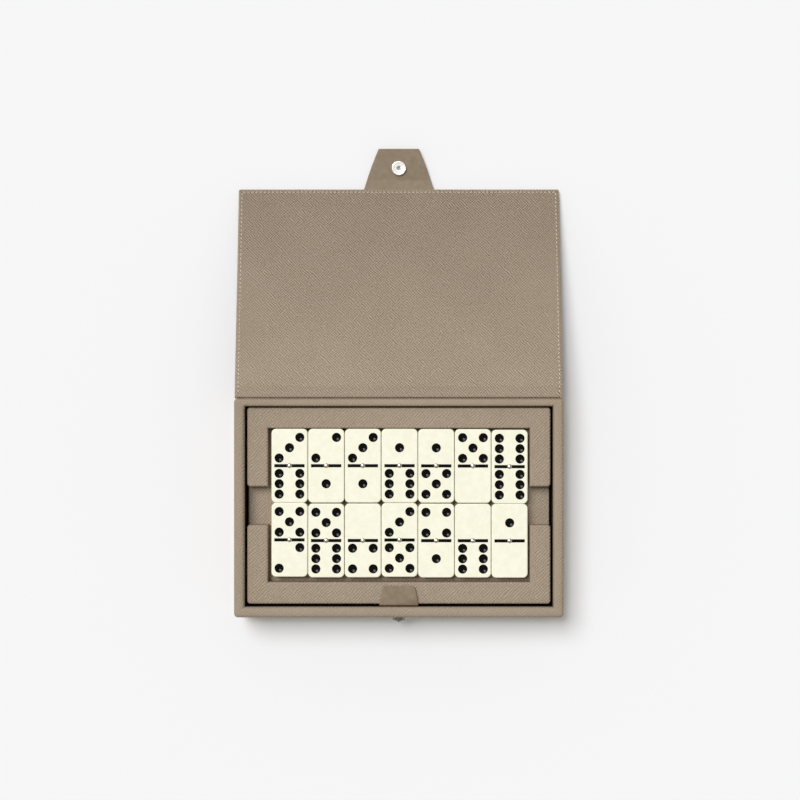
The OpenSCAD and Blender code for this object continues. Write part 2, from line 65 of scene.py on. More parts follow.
def dye(red, green, blue):
    """A colour as it is seen on a screen, from 0 to 255, as the colour that light is reckoned in."""
    shares = [value / 255 for value in (red, green, blue)]
    return [s / 12.92 if s <= 0.04045 else ((s + 0.055) / 1.055) ** 2.4 for s in shares] + [1]


def new_finish(name, roughness, specular=0.5, metallic=0.0):
    """A finish with nothing but its gloss, to which its colour and relief are joined."""
    finish = bpy.data.materials.new(name)
    finish.use_nodes = True
    shader = finish.node_tree.nodes["Principled BSDF"]
    shader.inputs["Roughness"].default_value = roughness
    shader.inputs["Specular IOR Level"].default_value = specular
    shader.inputs["Metallic"].default_value = metallic
    return finish


def step(finish, kind, inputs, output=0, **settings):
    """One step of a finish. An input is a number, a colour or what another step gives."""
    node = finish.node_tree.nodes.new("ShaderNode" + kind)
    for key, value in settings.items():
        setattr(node, key, value)
    for key, value in inputs.items():
        if isinstance(value, bpy.types.NodeSocket):
            finish.node_tree.links.new(value, node.inputs[key])
        else:
            node.inputs[key].default_value = value
    return node.outputs[output]


def into_shader(finish, **inputs):
    """Joins steps to the finish's shader, by the names of its sockets with _ for a space."""
    shader = finish.node_tree.nodes["Principled BSDF"]
    for key, value in inputs.items():
        finish.node_tree.links.new(value, shader.inputs[key.replace("_", " ")])


def reckon(finish, operation, first, second=0.0, third=0.0):
    """One sum in a finish."""
    return step(finish, "Math", {0: first, 1: second, 2: third}, operation=operation)


def shades(finish, share, stops):
    """Colours along a share from 0 to 1, each stop a place and a colour."""
    shade = step(finish, "ValToRGB", {"Fac": share})
    ramp = shade.node.color_ramp
    while len(ramp.elements) < len(stops):
        ramp.elements.new(0.5)
    for element, (place, colour) in zip(ramp.elements, stops):
        element.position = place
        element.color = dye(*colour)
    return shade


def mottle(finish, place, size, detail=2.0):
    """Cloudy unevenness of about one size, from 0 to 1."""
    return step(finish, "TexNoise", {"Vector": place, "Scale": 1 / size, "Detail": detail})


def where(finish):
    """Places on a piece, fixed to it however it moves."""
    return step(finish, "TexCoord", {}, output=3)


def relief(finish, height, depth):
    """Unevenness that catches the light, its depth in metres."""
    return step(finish, "Bump", {"Height": height, "Distance": depth})


def dress(finish, slot, *names):
    """Puts a finish on pieces of the frame."""
    for name in names:
        piece = frame["nodes"][name]
        piece.data.materials.clear()
        piece.data.materials.append(finish)


board = new_finish("board", roughness=0.85, specular=0.25)
fibre = mottle(board, where(board), BOARD_FIBRE, detail=4)
into_shader(board, Base_Color=shades(board, fibre, [(0.35, BOARD_FLECK), (0.65, BOARD_COLOUR)]),
            Normal=relief(board, fibre, BOARD_RELIEF))
dress(board, "board", "base_board", "front_wall", "rear_wall", "left_wall", "right_wall", "lid_board",
      "tray_board", "tray_rear_core", "tray_front_core")


# Lining of the box: black suede with a short nap, glued to the walls and the floor, and under the
# tray. The felt under the base is pressed wool of the same black.
SUEDE_COLOUR = (15, 14, 13)
SUEDE_NAP_COLOUR = (26, 24, 22)
SUEDE_NAP = 0.0006
NAPS_PER_CLOUD = 30
FELT_COLOUR = (30, 28, 26)
FELT_LIGHT = (52, 49, 46)
FELT_FIBRE = 0.0012
NAP_RELIEF = 0.00015


def napped(name, dark, light, nap):
    """Cloth with a nap of one size, brushed into larger clouds."""
    cloth = new_finish(name, roughness=0.95, specular=0.1)
    place = where(cloth)
    cloud = mottle(cloth, place, NAPS_PER_CLOUD * nap)
    pile = reckon(cloth, "MULTIPLY", mottle(cloth, place, nap, 4), cloud)
    into_shader(cloth, Base_Color=shades(cloth, pile, [(0.15, dark), (0.4, light)]),
                Normal=relief(cloth, pile, NAP_RELIEF))
    return cloth


dress(napped("suede", SUEDE_COLOUR, SUEDE_NAP_COLOUR, SUEDE_NAP), "suede",
      "wall_suede", "floor_suede", "tray_suede")
dress(napped("felt", FELT_COLOUR, FELT_LIGHT, FELT_FIBRE), "base_felt", "base_felt")


# Leather of the box: calf skin with a pressed cross grain, glued round the walls, over the rim and
# under the base. The frame halves in the well are wrapped in the same skin.
LEATHER_COLOUR = (161, 144, 124)
LEATHER_VALLEY = (94, 81, 66)
LEATHER_RIDGE = (203, 186, 166)
# Colour reached where painted shade darkens the leather most, as in the rim's crease
LEATHER_CREASE_SHADE = (30, 24, 18)
FRAME_PITCH = 0.0017
CROSS_SHARE = 0.85
WOBBLE_SIZE = 0.004
WOBBLE_TURN = 9.0
PATCH_SIZE = 0.007
PEBBLE_SIZE = 0.0011
PEBBLE_SHARE = 2.4
CLOUD_SIZE = 0.05
CLOUD_SHARE = 0.1
RIDGE_DEPTH = 0.0001
LEFT_LEANING = 1
RIGHT_LEANING = -1
RIM_WIDTH = 0.007
RIM_RISE = 0.0008
CROWN_POWER = 2.5
# Place, height and strength of the painted shade along the rim's rear top edge
RIM_CREASE = 0.07385
CREASE_HEIGHT = 0.0004
CREASE_PAINTED_SHADE = 0.6
RIM_CONTRAST = 0.07


def ridges(finish, place, lean, pitch, wobble):
    """Pressed lines that lean one way, as a height from -1 to 1."""
    across = step(finish, "VectorMath", {0: place, 1: (1, lean, 1)}, output=1, operation="DOT_PRODUCT")
    turns = reckon(finish, "MULTIPLY_ADD", across, math.tau / math.sqrt(2) / pitch, wobble)
    return reckon(finish, "SINE", turns)


def cross_grain(name, lean, pitch, place=where, contrast=0.11, painted_shade=None, crown=None):
    """Grained leather whose main ridges lean one way and give way in patches to ones across them.
    painted_shade says by how much painted shade darkens it at a place, and crown gives the padded rim its
    dome."""
    leather = new_finish(name, roughness=0.55, specular=0.3)
    spot = place(leather)
    wobble = reckon(leather, "MULTIPLY", mottle(leather, spot, WOBBLE_SIZE), WOBBLE_TURN)
    patch = mottle(leather, spot, PATCH_SIZE)
    main = step(leather, "MapRange", {"Value": patch, 1: 0.35, 2: 0.6, 3: 1.0, 4: 0.35})
    main = reckon(leather, "MULTIPLY", ridges(leather, spot, lean, pitch, wobble), main)
    cross = step(leather, "MapRange", {"Value": patch, 1: 0.4, 2: 0.65, 3: 0.3, 4: 1.0})
    crossing = ridges(leather, spot, -lean, CROSS_SHARE * pitch, wobble)
    height = reckon(leather, "MULTIPLY_ADD", crossing, cross, main)
    pebble = reckon(leather, "SUBTRACT", mottle(leather, spot, PEBBLE_SIZE, 3), 0.5)
    skin = reckon(leather, "MULTIPLY_ADD", pebble, PEBBLE_SHARE, height)
    cloud = mottle(leather, spot, CLOUD_SIZE)
    share = reckon(leather, "MULTIPLY_ADD", skin, contrast, 0.45)
    share = reckon(leather, "MULTIPLY_ADD", cloud, CLOUD_SHARE, share)
    # Painted shade: the share is lowered where the leather is to look shaded
    if painted_shade:
        y = step(leather, "SeparateXYZ", {0: spot}, output=1)
        share = reckon(leather, "SUBTRACT", share, painted_shade(leather, y))
    tones = [(0.0, LEATHER_CREASE_SHADE), (0.12, LEATHER_VALLEY), (0.5, LEATHER_COLOUR), (0.9, LEATHER_RIDGE)]
    grain = relief(leather, skin, RIDGE_DEPTH)
    if crown:
        grain = step(leather, "Bump", {"Height": crown(leather), "Distance": RIM_RISE, "Normal": grain})
    into_shader(leather, Base_Color=shades(leather, share, tones), Normal=grain)
    return leather


def rim_crease_shade(leather, y):
    """How much painted shade darkens the top of the rim where the lid's leather folds down against its rear
    edge, for the shadow in that crease.
    """
    edge = step(leather, "MapRange", {"Value": y, 1: RIM_CREASE, 2: RIM_CREASE + CREASE_HEIGHT / 2,
                                      3: 0.0, 4: CREASE_PAINTED_SHADE})
    z = step(leather, "SeparateXYZ", {0: where(leather)}, output=2)
    rim_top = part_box("box_leather")[1][2]
    heights = {"Value": z, 1: rim_top - CREASE_HEIGHT, 2: rim_top - CREASE_HEIGHT / 2}
    return reckon(leather, "MULTIPLY", edge, step(leather, "MapRange", heights))


def rim_crown(leather):
    """Height of the padded rim as a share of its rise: 0 midway between its edges, less towards them."""
    low, high = [np.array(corner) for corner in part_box("box_leather")]
    centre = (low + high) / 2
    middle = (high - low) / 2 - RIM_WIDTH / 2
    axes = []
    for axis in (0, 1):
        spot = step(leather, "SeparateXYZ", {0: where(leather)}, output=axis)
        from_centre = reckon(leather, "ABSOLUTE", reckon(leather, "SUBTRACT", spot, float(centre[axis])))
        axes.append(reckon(leather, "SUBTRACT", from_centre, float(middle[axis])))
    across = reckon(leather, "MULTIPLY", reckon(leather, "MAXIMUM", *axes), 2 / RIM_WIDTH)
    fall = reckon(leather, "POWER", reckon(leather, "ABSOLUTE", across), CROWN_POWER)
    return reckon(leather, "MULTIPLY", fall, -1.0)


# The rim's leather carries painted shade along its rear top edge, for the shadow where the lid folds down
rim_leather = cross_grain("rim_leather", RIGHT_LEANING, FRAME_PITCH, contrast=RIM_CONTRAST,
                          painted_shade=rim_crease_shade, crown=rim_crown)
dress(rim_leather, "grained_leather", "box_leather")
dress(cross_grain("grained_leather", RIGHT_LEANING, FRAME_PITCH), "grained_leather",
      "well_rear_frame", "well_front_frame")


# Clasp on the front: a magnetic snap of nickel-plated brass. The stud's two prongs go through the
# leather and a washer and are bent over in the board.
NICKEL_COLOUR = (246, 245, 240)
NICKEL_DULL = (226, 224, 217)
# The stud's colours are painted shade: dimmed nickel for the dark room that it reflects
STUD_SHADED_COLOUR = (150, 146, 138)
STUD_SHADED_DULL = (112, 108, 100)
# Dark ring of painted shade in the socket's hollow
SOCKET_HOLE_SHADE = (84, 80, 74)
SOCKET_RADIUS = 0.005
SOCKET_PITTING = 0.0008
TURNING_PITCH = 0.0004
TURNING_RELIEF = 0.000004
RING_RELIEF = 0.0001
NICKEL_ROUGHNESS = 0.28
# Colours from the socket's middle to its edge, as shares of its radius. The dark ring is painted shade in
# the socket's hollow, and the dull rings are painted shade of its turned ridges
SOCKET_SHADED_RINGS = [(0.0, NICKEL_DULL), (0.16, SOCKET_HOLE_SHADE), (0.3, NICKEL_COLOUR), (0.62, NICKEL_COLOUR),
                (0.7, NICKEL_DULL), (0.78, NICKEL_COLOUR)]


def plated(name, dull, bright, roughness=NICKEL_ROUGHNESS):
    """Nickel plate over turned brass."""
    nickel = new_finish(name, roughness, metallic=1.0)
    turned = mottle(nickel, where(nickel), TURNING_PITCH, 3)
    into_shader(nickel, Base_Color=shades(nickel, turned, [(0.3, dull), (0.6, bright)]),
                Normal=relief(nickel, turned, TURNING_RELIEF))
    return nickel


nickel_plate = plated("nickel", NICKEL_DULL, NICKEL_COLOUR)
dress(nickel_plate, "clasp_metal", "stud_washer", "clasp_magnet", "socket_washer")
# The stud is the same nickel plate as the rest of the clasp, painted dim as a painted reflection of a dark
# room
dress(plated("stud_nickel_painted_dark", STUD_SHADED_DULL, STUD_SHADED_COLOUR, roughness=0.2), "clasp_metal", "clasp_stud")

# The socket's dark and dull rings are painted shade for its hollow and turned ridges
ringed = new_finish("nickel_painted_rings", NICKEL_ROUGHNESS, metallic=1.0)
socket_low, socket_high = [np.array(corner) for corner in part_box("clasp_socket")]
socket_middle = ((socket_low + socket_high) / 2).tolist()
from_middle = step(ringed, "VectorMath", {0: where(ringed), 1: socket_middle}, operation="SUBTRACT")
from_middle = step(ringed, "VectorMath", {0: from_middle}, output=1, operation="LENGTH")
pitted = reckon(ringed, "MULTIPLY_ADD", mottle(ringed, where(ringed), SOCKET_PITTING), 0.4, -0.2)
ring = reckon(ringed, "MULTIPLY_ADD", from_middle, 1 / SOCKET_RADIUS, pitted)
into_shader(ringed, Base_Color=shades(ringed, ring, SOCKET_SHADED_RINGS), Normal=relief(ringed, ring, RING_RELIEF))
dress(ringed, "clasp_metal", "clasp_socket")


# Outer leather of the lid: one skin that is glued to the box's rear, bends over the hinge, covers
# the lid's outer side and is turned in round its edges. It is left flexible next to the hinge.
# One millimetre in metres: from here on shapes are given in millimetres, and finishes in metres
MM = 0.001
STRIP_CORNER = 1.3
STRIP_THICKNESS = 0.8
SKIN_THICKNESS = 0.35
LID_CORNER = 1.3
LID_EDGE_ROUND = 1.2
FACE_MARGIN = 3.2
BORDER_DROP = 0.45
TURN_IN = 2.5
QUARTER_TURN = np.radians([22.5, 45, 67.5, 90])
# Distance from the fold, height of the lining's face and of the outer face, through the gutter
GUTTER = [(0.6, -2.2, -3.1), (1.3, -1.75, -2.85), (2.5, -1.45, -2.8), (4.0, -1.15, -2.8), (5.5, -0.8, -2.9),
          (7.0, -0.38, -3.2), (7.8, -0.13, -3.6), (8.5, -0.02, -3.9), (9.2, 0.0, -4.0)]
GUTTER_END = 9.3
LID_FLAT_FROM = 9.6
CREASE_ROUND = 0.3
GRAIN_PITCH = 0.0015
LID_CONTRAST = 0.2


def joint(name):
    """A joint of the frame, with its place and range."""
    return next(j for j in frame["joints"] if j["name"] == name)


lid_fold = np.array(joint("lid_hinge")["pos_m"]) / MM
lid_slope = math.radians(joint("lid_hinge")["range_deg"][1] - 180)
lid_out = np.array([0, math.cos(lid_slope), -math.sin(lid_slope)])
lid_up = np.array([0, math.sin(lid_slope), math.cos(lid_slope)])


def corners(name):
    """Lowest and highest corner of a piece of the frame, in millimetres."""
    return [np.array(corner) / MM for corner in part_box(name)]


def reach(name, direction):
    """How far a piece of the frame goes from the lid's fold in a direction."""
    points = np.array([v.co for v in frame["nodes"][name].data.vertices]) / MM
    return float(((points - lid_fold) @ direction).max())


lid_half_width = corners("lid_leather")[1][0]
lid_length = reach("lid_leather", lid_out)
lid_thickness = reach("lid_leather", -lid_up)
ACROSS = np.array([1.0, 0, 0])


def on_lid(x, out, up):
    """A place on the lid: out runs from its fold, and up from its inner side."""
    return lid_fold + x * ACROSS + out * lid_out + up * lid_up


def gutter(out, face):
    """Height of the lining's face (1) or the outer face (2) at a distance from the fold."""
    return float(np.interp(out, [g[0] for g in GUTTER], [g[face] for g in GUTTER]))


def turned_edge(thickness, rounding):
    """Leather that turns round an edge: insets from it, and heights above the outer face."""
    r = min(rounding, 0.49 * thickness)
    turn = r - r * np.sin(QUARTER_TURN)
    fold = r - r * np.cos(QUARTER_TURN)
    insets = [FACE_MARGIN, 0.7 * FACE_MARGIN, r, *turn, 0, *fold, TURN_IN]
    heights = [0, 0, 0, *fold, thickness - r, *(thickness - turn), thickness]
    return np.array(insets), np.array(heights)


def along(insets, heights):
    """Distance along a turned edge from its start."""
    return np.concatenate([[0], np.cumsum(np.hypot(np.diff(insets), np.diff(heights)))])


def new_piece(name, points, faces, hide=None):
    """A mesh from points in millimetres. hide gives each point's place on the flat skin."""
    mesh = bpy.data.meshes.new(name)
    mesh.from_pydata((np.array(points) * MM).tolist(), [], faces)
    if hide is not None:
        spot = mesh.attributes.new("hide", "FLOAT_VECTOR", "POINT")
        spot.data.foreach_set("vector", (np.array(hide, float) * MM).ravel())
    mesh.polygons.foreach_set("use_smooth", [True] * len(mesh.polygons))
    mesh.validate()
    piece = bpy.data.objects.new(name, mesh)
    bpy.context.scene.collection.objects.link(piece)
    return piece


def grid_faces(rows, columns, start=0, flip=False):
    """Faces between points that lie in rows, the first of them numbered start."""
    faces = []
    for i in range(rows - 1):
        for j in range(columns - 1):
            a = start + i * columns + j
            face = (a, a + 1, a + columns + 1, a + columns)
            faces.append(face[::-1] if flip else face)
    return faces


def from_hide(finish):
    """Places on the flat skin, for a piece that bends."""
    return step(finish, "Attribute", {}, output=1, attribute_name="hide")


def cover_rows():
    """Rows of the lid's outer skin from the foot of the strip to the lid's far corners' start.
    Each is a point of its outer face, the way to its inner face, thickness and half width."""
    low, high = corners("hinge_strip")
    rear = high[1]
    rows = []
    inward = np.array([0, -1.0, 0])
    for angle in (0, *QUARTER_TURN):
        rise = STRIP_CORNER * (1 - math.cos(angle))
        inset = STRIP_CORNER * (1 - math.sin(angle))
        rows.append((np.array([0, rear, low[2] + rise]), inward, STRIP_THICKNESS, lid_half_width - inset))
    crease = on_lid(0, GUTTER[0][0], GUTTER[0][2])
    for z in np.linspace(low[2] + STRIP_CORNER, crease[2] - CREASE_ROUND, 6)[1:]:
        rows.append((np.array([0, rear, z]), inward, STRIP_THICKNESS, lid_half_width))
    half_way = (inward + lid_up) / np.linalg.norm(inward + lid_up)
    rows.append((crease, half_way, STRIP_THICKNESS, lid_half_width))
    outs = [*np.arange(1.0, GUTTER_END, 0.4), *np.linspace(LID_FLAT_FROM, lid_length - FACE_MARGIN, 22)]
    for out in outs:
        top = gutter(out, 1) - BORDER_DROP
        bottom = gutter(out, 2)
        rows.append((on_lid(0, out, bottom), lid_up, top - bottom, lid_half_width))
    return rows


def round_corner(from_corner, radius):
    """Moves a place near a square corner, given by its distances from both sides, to a round one."""
    inward = radius - np.minimum(from_corner, radius)
    if inward.min() <= 0:
        return from_corner
    return radius - inward * inward.max() / np.hypot(*inward)


def build_cover():
    """The lid's outer skin: rows up the strip and along the lid, and rows round its far edge."""
    rows = cover_rows()
    inner = np.linspace(-1, 1, 25)[1:-1]
    points, hide = [], []
    run = 0.0
    for k, (spot, inward, thickness, half_width) in enumerate(rows):
        insets, heights = turned_edge(thickness, LID_EDGE_ROUND)
        lengths = along(insets, heights)
        run += np.linalg.norm(spot - rows[k - 1][0]) if k else 0
        flat = half_width - FACE_MARGIN
        xs = [*(-(half_width - insets))[::-1], *(inner * flat), *(half_width - insets)]
        ups = [*heights[::-1], *(0 * inner), *heights]
        skins = [*(-(flat + lengths))[::-1], *(inner * flat), *(flat + lengths)]
        for x, up, skin in zip(xs, ups, skins):
            points.append(spot + x * ACROSS + up * inward)
            hide.append((skin, run, 0))
    insets, heights = turned_edge(lid_thickness - BORDER_DROP, LID_EDGE_ROUND)
    lengths = along(insets, heights)
    flat = lid_half_width - FACE_MARGIN
    far = lid_length - FACE_MARGIN
    last = len(insets)
    for j in range(1, last):
        row = []
        for i in range(last):
            ring = max(i, j)
            side = FACE_MARGIN - insets[ring]
            from_corner = side * (1 - np.array([i, j]) / ring)
            x, out = side - round_corner(from_corner, max(LID_CORNER - insets[ring], 0.1))
            row.append((flat + x, far + out, heights[ring] - lid_thickness, flat + lengths[i]))
        middle = [(x * flat, lid_length - insets[j], heights[j] - lid_thickness, x * flat) for x in inner]
        left = [(-x, out, up, -skin) for x, out, up, skin in row[::-1]]
        for x, out, up, skin in left + middle + row:
            points.append(on_lid(x, out, up))
            hide.append((skin, run + lengths[j], 0))
    columns = 2 * last + len(inner)
    cover = new_piece("lid_cover", points, grid_faces(len(points) // columns, columns, flip=True), hide)
    wall = cover.modifiers.new("leather", "SOLIDIFY")
    wall.thickness = SKIN_THICKNESS * MM
    wall.offset = -1
    return cover


cover = build_cover()
cover_skin = cross_grain("lid_cover_leather", LEFT_LEANING, GRAIN_PITCH, from_hide, LID_CONTRAST)
cover.data.materials.append(cover_skin)
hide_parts("hinge_strip", "lid_leather")
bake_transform(cover)


# Lining of the lid: grained leather glued over the board and the turned-in edges, and sewn down
# along three sides. It dips into the gutter and ends in the crease of the hinge.
LINING_FROM_EDGE = 1.1
LINING_THICKNESS = 0.8
GUTTER_LINING = 0.45
LINING_EDGE_ROUND = 0.35
LINING_CORNER = 0.5
STITCH_FROM_EDGE = 2.45
# Strength of the painted shade that grows along the lining towards the lid's far edge
LID_PAINTED_SHADE = 0.85
CHANNEL_DEPTH = 0.16
CHANNEL_WIDTH = 0.28
SHOULDER = 1.2
# Insets of the mesh's lines near an edge, closest where it is rounded and where the stitches pull it in
EDGE_LINES = np.array([0, 0.04, 0.12, 0.22, 0.35, 0.6, 0.95, 1.15, 1.35, 1.55, 1.75, 1.9, 2.5])


def rounded(inset, radius):
    """How far a rounded edge lies below its face at an inset."""
    return radius - math.sqrt(max(radius ** 2 - max(radius - inset, 0) ** 2, 0))


def closed_sheet(name, rows, points, hide):
    """A sheet with a thickness, from the rows of points of its upper face and of its lower one."""
    size = len(points) // 2
    columns = size // rows
    faces = grid_faces(rows, columns) + grid_faces(rows, columns, size, flip=True)
    rim = [*range(columns), *range(2 * columns - 1, size, columns),
           *range(size - 2, size - columns - 1, -1), *range(size - 2 * columns, 0, -columns)]
    for a, b in zip(rim, rim[1:] + rim[:1]):
        faces.append((b, a, a + size, b + size))
    return new_piece(name, points, faces, hide)


def build_lining():
    """The lining with rounded edges and a shoulder at the fold, pulled in along its stitches."""
    half_width = lid_half_width - LINING_FROM_EDGE
    far = lid_length - LINING_FROM_EDGE
    start = GUTTER[0][0]
    outs = [*np.arange(start, GUTTER_END, 0.35), *np.linspace(10, far - 8, 18), *(far - EDGE_LINES[::-1])]
    middle = np.linspace(-1, 1, 27)
    rows, hide = [], []
    for out in outs:
        shoulder = rounded(out - start, SHOULDER)
        side = half_width - shoulder - EDGE_LINES
        xs = np.array([*-side, *(middle * (half_width - 8)), *side[::-1]])
        from_far = far - out
        for x in xs:
            from_side = half_width - shoulder - abs(x)
            inset = min(from_side, from_far)
            spot_x, spot_out = x, out
            if from_side < LINING_CORNER and from_far < LINING_CORNER:
                side_gap, far_gap = round_corner(np.array([from_side, from_far]), LINING_CORNER)
                spot_x = math.copysign(half_width - side_gap, x)
                spot_out = far - far_gap
            from_stitches = inset - STITCH_FROM_EDGE + LINING_FROM_EDGE
            dent = CHANNEL_DEPTH * math.exp(-(from_stitches / CHANNEL_WIDTH) ** 2)
            drop = rounded(inset, LINING_EDGE_ROUND) + dent
            top = gutter(out, 1)
            thickness = np.interp(out, [4, 9], [GUTTER_LINING, LINING_THICKNESS])
            rows.append((spot_x, spot_out, top - drop, top - thickness))
            hide.append((spot_x, spot_out, 0))
    top = [on_lid(x, out, up) for x, out, up, _ in rows]
    bottom = [on_lid(x, out, down) for x, out, _, down in rows]
    return closed_sheet("lid_lining_leather", len(outs), top + bottom, hide * 2)


def far_end_shade(leather, out):
    """How much painted shade darkens the lining at a distance from the fold, growing towards the lid's far
    edge.
    """
    return reckon(leather, "MULTIPLY", out, LID_PAINTED_SHADE)


# The lining gets painted shade that grows towards the lid's far edge
lining = build_lining()
lining_skin = cross_grain("lid_lining_skin", LEFT_LEANING, GRAIN_PITCH, from_hide, LID_CONTRAST,
                          painted_shade=far_end_shade)
lining.data.materials.append(lining_skin)
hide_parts("lid_lining")
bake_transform(lining)


# Stitching of the lid: waxed linen thread in the leather's colour, sewn with an awl. Each stitch
# rises from one hole and dives into the next, a little inside the lining's edge.
THREAD_COLOUR = (234, 221, 202)
THREAD_SHADE = (208, 193, 172)
THREAD_RELIEF = 0.00004
THREAD_TWIST = 0.0003
# Colours of the holes: painted shade for the hollow of each hole
HOLE_SHADE = (30, 24, 18)
HOLE_EDGE_SHADE = (66, 56, 45)
STITCH_PITCH = 2.9
STITCH_LENGTH = 2.1
STITCH_START = 3.5
STITCH_RISE = 0.75
STITCH_SINK = 0.4
THREAD_THICKNESS = 0.55
THREAD_SIDES = 8
HOLE_SIZE = 0.55
HOLE_DEPTH = 0.03


def stitch_line():
    """Ends of every stitch along the three sewn sides, as places on the lid."""
    side = lid_half_width - STITCH_FROM_EDGE
    far = lid_length - STITCH_FROM_EDGE
    path = [(-side, STITCH_START), (-side, far), (side, far), (side, STITCH_START)]
    for a, b in zip(path, path[1:]):
        a, b = np.array(a), np.array(b)
        count = round(np.linalg.norm(b - a) / STITCH_PITCH)
        way = (b - a) / np.linalg.norm(b - a)
        for k in range(count):
            middle = a + (b - a) * (k + 0.5) / count
            yield middle - way * STITCH_LENGTH / 2, middle + way * STITCH_LENGTH / 2, way


def sewn_height(out):
    """Height of the bottom of the channel that the stitches pull in."""
    return gutter(out, 1) - CHANNEL_DEPTH


def build_thread():
    """Every stitch, thickest at its middle and dipping into the leather at its ends."""
    points, faces = [], []
    sides = THREAD_SIDES
    for start, end, way in stitch_line():
        across = np.array([way[1], -way[0]])
        first = len(points)
        steps = np.linspace(0, 1, 9)
        for share in steps:
            spot = start + (end - start) * share
            swell = math.sin(math.pi * share) ** 0.4 if 0 < share < 1 else 0.35
            lift = THREAD_THICKNESS * (STITCH_RISE * math.sin(math.pi * share) - STITCH_SINK)
            for k in range(sides):
                turn = math.tau * k / sides
                radius = THREAD_THICKNESS / 2 * (0.55 + 0.45 * swell)
                x, out = spot + across * radius * math.cos(turn)
                points.append(on_lid(x, out, sewn_height(spot[1]) + lift + radius * math.sin(turn)))
        for i in range(len(steps) - 1):
            for k in range(sides):
                a, b = first + i * sides + k, first + i * sides + (k + 1) % sides
                faces.append((a, b, b + sides, a + sides))
        faces.append(tuple(first + k for k in reversed(range(sides))))
        faces.append(tuple(first + (len(steps) - 1) * sides + k for k in range(sides)))
    return new_piece("lid_stitching", points, faces)


def build_holes():
    """The awl's holes, as small dishes just above the bottom of the channel, coloured dark as painted shade
    for the hollow of each hole.
    """
    points, faces = [], []
    sides = THREAD_SIDES
    for start, end, way in stitch_line():
        for spot in (start, end):
            first = len(points)
            for radius, up in ((1.0, HOLE_DEPTH), (0.6, 0.0)):
                for k in range(sides):
                    turn = math.tau * k / sides
                    x, out = spot + HOLE_SIZE * radius * np.array([math.cos(turn), math.sin(turn)])
                    points.append(on_lid(x, out, sewn_height(spot[1]) + up))
            for k in range(sides):
                a, b = first + k, first + (k + 1) % sides
                faces.append((a, b, b + sides, a + sides))
            faces.append(tuple(first + sides + k for k in range(sides)))
            faces.append(tuple(first + k for k in reversed(range(sides))))
    return new_piece("stitch_holes", points, faces)


linen = new_finish("linen_thread", roughness=0.6, specular=0.3)
twist = mottle(linen, where(linen), THREAD_TWIST)
into_shader(linen, Base_Color=shades(linen, twist, [(0.35, THREAD_SHADE), (0.6, THREAD_COLOUR)]),
            Normal=relief(linen, twist, THREAD_RELIEF))
thread = build_thread()
thread.data.materials.append(linen)
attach(thread, "lid")

# The holes are coloured dark as painted shade for their hollows
hole_shading = new_finish("stitch_hole_shade", roughness=0.9, specular=0.1)
shade_mottle = mottle(hole_shading, where(hole_shading), 0.0004)
into_shader(hole_shading, Base_Color=shades(hole_shading, shade_mottle, [(0.3, HOLE_SHADE), (0.7, HOLE_EDGE_SHADE)]))
holes = build_holes()
holes.data.materials.append(hole_shading)
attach(holes, "lid")


# Clasp flap: two leathers glued back to back, grained outside and smooth inside, with painted edges.
# Its root is let into the lid's board, and it bends over the lid's edge when the box is shut.
SMOOTH_COLOUR = (135, 118, 97)
SMOOTH_DARK = (117, 101, 82)
SMOOTH_LIGHT = (149, 132, 111)
FLAP_ROOT_HALF = 24.3
FLAP_TIP_HALF = 14.1
FLAP_LENGTH = 28.6
FLAP_BOW = 0.6
FLAP_CORNER = 0.6
FLAP_BEND = 3.5
FLAP_INLAY = 3.0
LEATHER_THICKNESS = 0.8
STRAP_EDGE_ROUND = 0.25
PORE_SIZE = 0.0006
SMOOTH_RELIEF = 0.00005
# Distances of a strap's last rows of points from its rounded end
END_ROWS = (1.2, 0.9, 0.6, 0.35, 0.2, 0.1, 0.03, 0)

flap_fold = np.array(joint("flap_fold")["pos_m"]) / MM
flap_fold_out = float((flap_fold - lid_fold) @ lid_out)
flap_fold_up = float((flap_fold - lid_fold) @ lid_up)
flap_turn = math.radians(90 - joint("flap_fold")["range_deg"][1])


def smooth_step(share):
    """A share from 0 to 1 that starts and ends gently."""
    share = min(max(share, 0), 1)
    return share * share * (3 - 2 * share)


def flap_half(distance):
    """Half the flap's width at a distance from the lid's edge."""
    share = max(distance, 0) / FLAP_LENGTH
    half = FLAP_ROOT_HALF + (FLAP_TIP_HALF - FLAP_ROOT_HALF) * share + 4 * FLAP_BOW * share * (1 - share)
    return half - rounded(FLAP_LENGTH - distance, FLAP_CORNER)


def on_flap(x, out, up):
    """A place on the flap, bent at its fold: out and up are measured from the fold."""
    turn = flap_turn * smooth_step((out + FLAP_BEND) / (2 * FLAP_BEND))
    level, rise = math.cos(turn), math.sin(turn)
    return on_lid(x, flap_fold_out + out * level - up * rise, flap_fold_up + out * rise + up * level)


def build_strap(name, stations, place, low, high, rounds):
    """A flat strap. stations are distances with half widths, place puts a point on it, and rounds
    says which of its lower and upper faces have worn edges."""
    insets = np.array([0, 0.03, 0.1, STRAP_EDGE_ROUND, 1.0])
    inner = np.linspace(-1, 1, 13)
    points, hide = [], []
    for side, base in ((1, high), (0, low)):
        for out, half, from_end in stations:
            edge = half - insets
            for x in (*-edge, *(inner * (half - 2)), *edge[::-1]):
                worn = rounded(min(half - abs(x), from_end), STRAP_EDGE_ROUND) if rounds[side] else 0
                points.append(place(x, out, base - worn if side else base + worn))
                hide.append((x, out, 0))
    return closed_sheet(name, len(stations), points, hide)


def flap_stations():
    """Rows of the flap, from where its root ends in the lid to its tip."""
    outs = [-FLAP_INLAY, 0, *np.arange(1.5, 11, 0.5), *np.linspace(12, FLAP_LENGTH - 2, 12)]
    outs += [FLAP_LENGTH - inset for inset in END_ROWS]
    start = flap_fold_out - lid_length
    return [(out - start, flap_half(out), FLAP_LENGTH - out) for out in outs]


